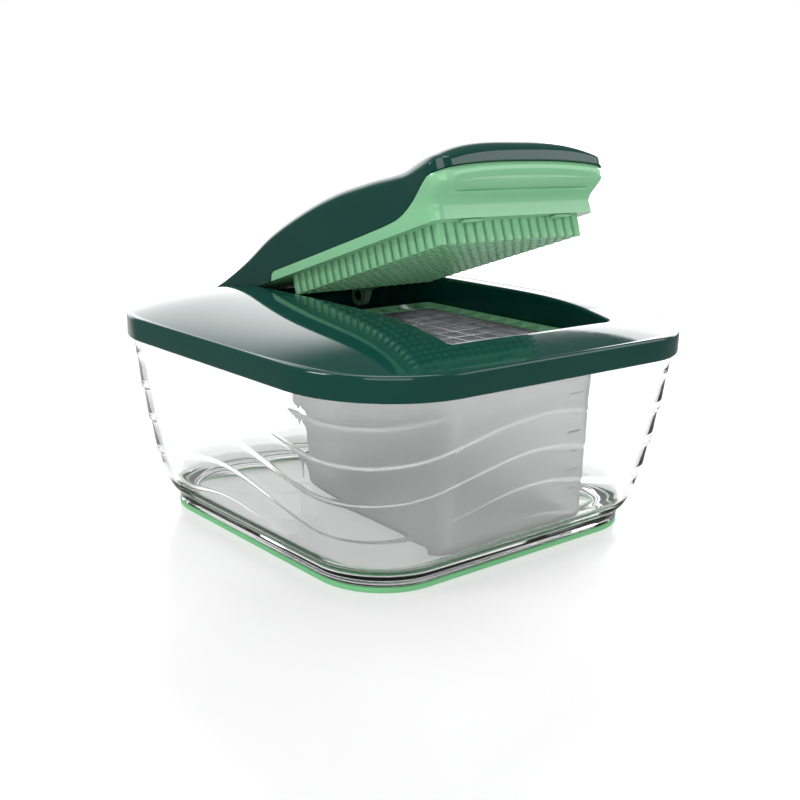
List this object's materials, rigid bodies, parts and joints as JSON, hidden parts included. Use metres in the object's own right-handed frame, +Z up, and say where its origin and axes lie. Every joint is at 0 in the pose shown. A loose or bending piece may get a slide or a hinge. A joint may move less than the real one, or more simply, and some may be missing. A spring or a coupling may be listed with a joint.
{
  "type": "vegetable dicer",
  "caption": "Square hand-pushed dicer: hinged pin lid over a removable blade grid, on a clear container with a collection box.",
  "frame": {"origin": "centre of the underside, at the level the base rests on", "axes": "+Z up, -Y towards the lid's front grip, +Y towards the hinge, +X to the right seen from the front"},
  "size_m": [0.24, 0.24, 0.2009],
  "materials": {
    "clear_container": "clear gloss",
    "soft_grip": "satin",
    "frosted_box": "frosted translucent",
    "dark_green_gloss": "gloss",
    "light_green_plastic": "satin",
    "hinge_steel": "satin",
    "blade_steel": "polished"
  },
  "bodies": {
    "container": {"container_bowl": "clear_container", "base_grip_ring": "soft_grip"},
    "box": {"collection_box": "frosted_box"},
    "deck": {"deck_frame": "dark_green_gloss", "hinge_pin_left": "hinge_steel", "hinge_pin_right": "hinge_steel"},
    "insert": {"insert_frame": "light_green_plastic", "long_blade_1": "blade_steel", "long_blade_2": "blade_steel", "long_blade_3": "blade_steel", "long_blade_4": "blade_steel", "long_blade_5": "blade_steel", "long_blade_6": "blade_steel", "long_blade_7": "blade_steel", "cross_blade_1": "blade_steel", "cross_blade_2": "blade_steel", "cross_blade_3": "blade_steel", "cross_blade_4": "blade_steel", "cross_blade_5": "blade_steel", "cross_blade_6": "blade_steel", "cross_blade_7": "blade_steel", "cross_blade_8": "blade_steel", "cross_blade_9": "blade_steel"},
    "lid": {"lid_body": "light_green_plastic", "lid_cover": "dark_green_gloss"},
    "pusher": {"pin_plate": "light_green_plastic"}
  },
  "joints": [
    {"name": "box_lift", "type": "slide", "parent": "container", "child": "box", "axis": [0, 0, 1], "range_m": [0, 0.1]},
    {"name": "deck_lift", "type": "slide", "parent": "box", "child": "deck", "axis": [0, 0, 1], "range_m": [0, 0.04]},
    {"name": "insert_lift", "type": "slide", "parent": "deck", "child": "insert", "axis": [0, 0, 1], "range_m": [0, 0.008]},
    {"name": "lid_hinge", "type": "hinge", "parent": "deck", "child": "lid", "pos_m": [0, 0.095, 0.102], "axis": [-1, 0, 0], "range_deg": [-18.3, 60]},
    {"name": "pusher_unclip", "type": "slide", "parent": "lid", "child": "pusher", "axis": [0, -0.314, -0.9494], "range_m": [0, 0.004]}
  ]
}
